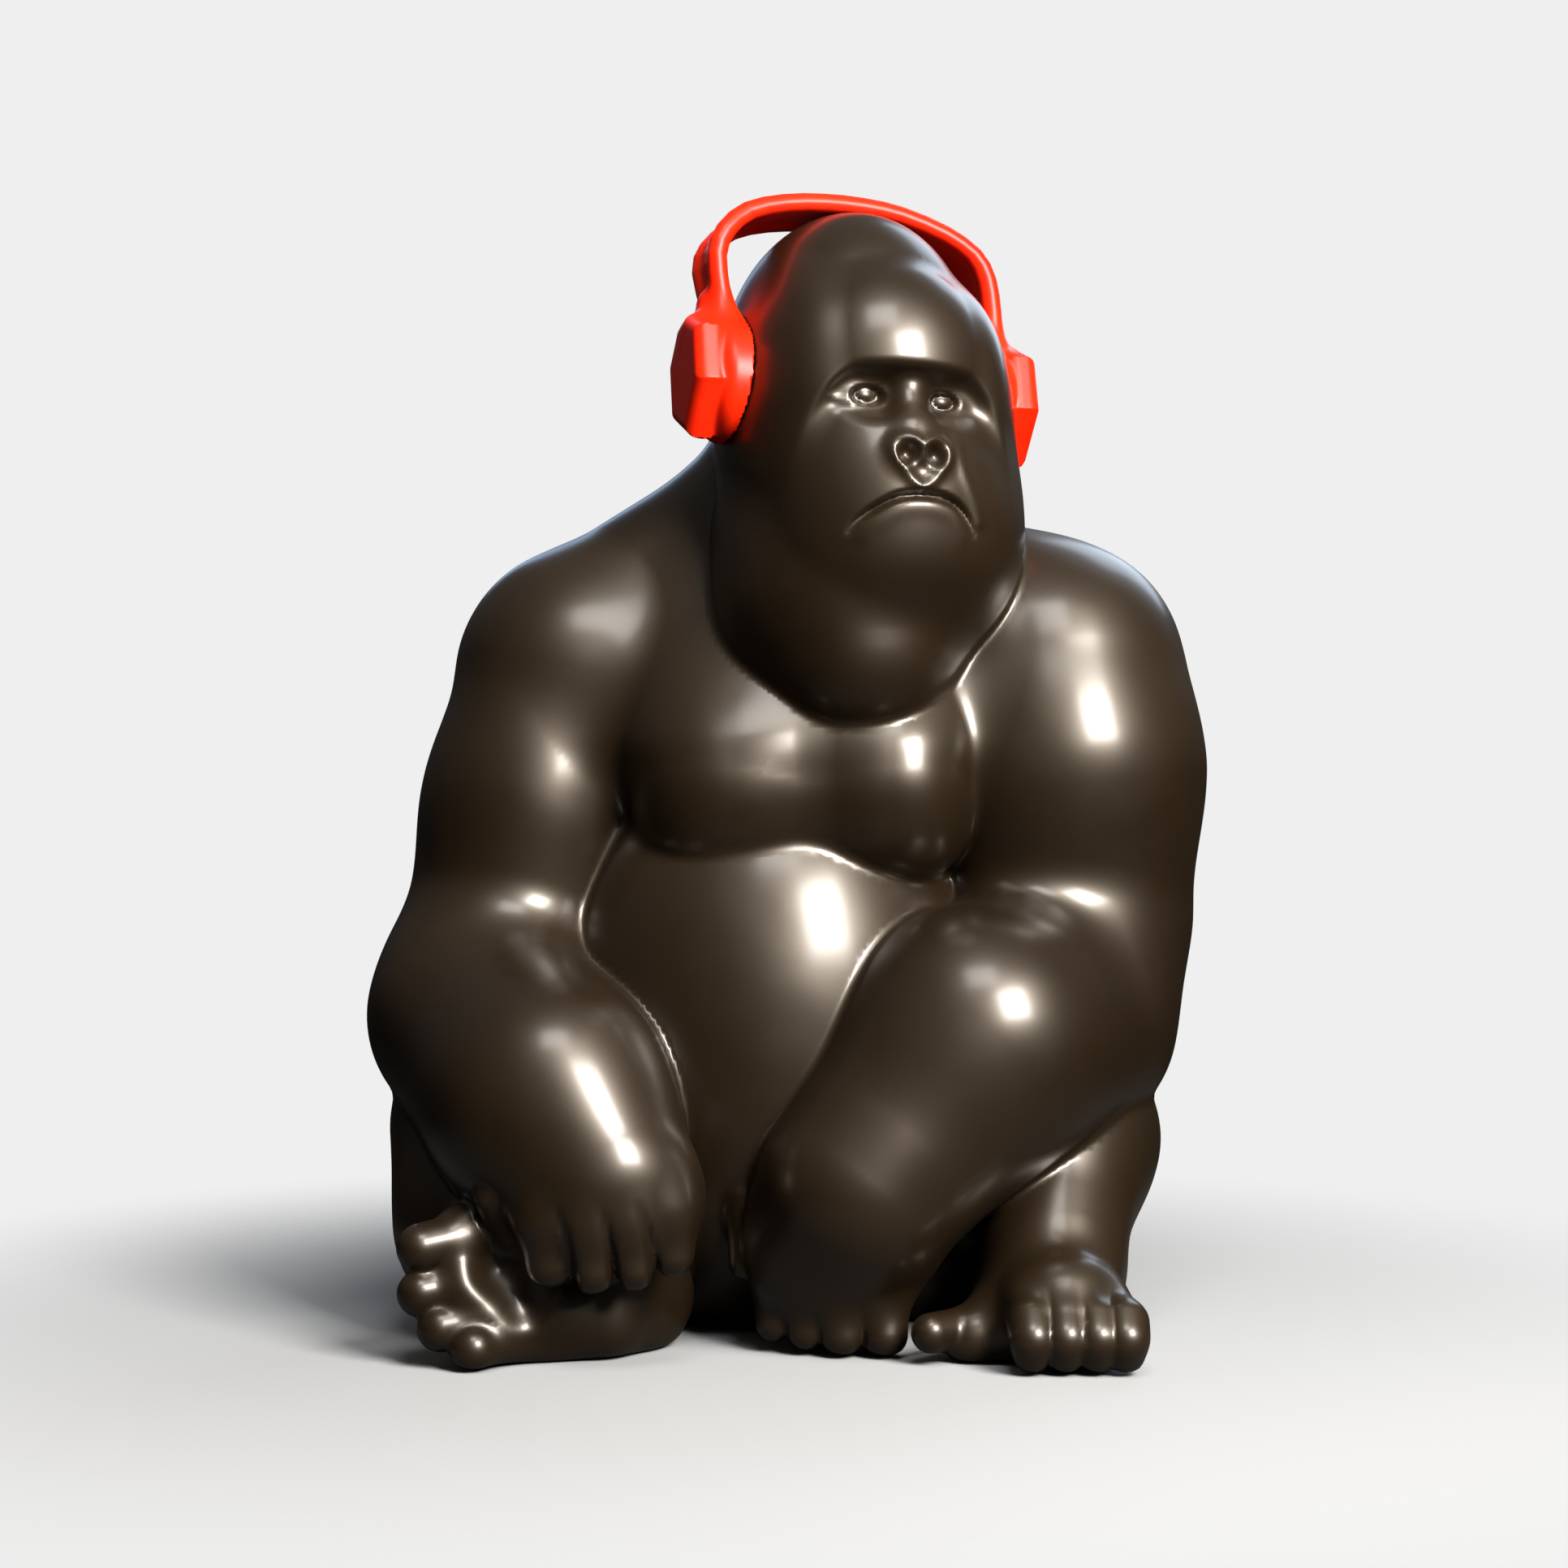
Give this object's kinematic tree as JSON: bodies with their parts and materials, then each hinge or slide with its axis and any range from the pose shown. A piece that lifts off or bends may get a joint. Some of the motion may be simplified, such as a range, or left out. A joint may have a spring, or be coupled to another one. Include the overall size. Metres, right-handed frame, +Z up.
{
  "type": "gorilla figurine",
  "caption": "Seated gorilla figurine in dark gloss resin, resting one hand on the ground, with red headphones over its head; it stands on its own flat underside.",
  "frame": {"origin": "middle of the whole figure's footprint, on the surface it stands on", "axes": "+Z up, the figure looks along -Y with its head turned a little to +X"},
  "size_m": [0.2436, 0.1792, 0.3277],
  "materials": {
    "dark_resin": "gloss",
    "red_resin": "gloss"
  },
  "bodies": {
    "root": {"gorilla": "dark_resin", "headphones": "red_resin"}
  },
  "joints": []
}
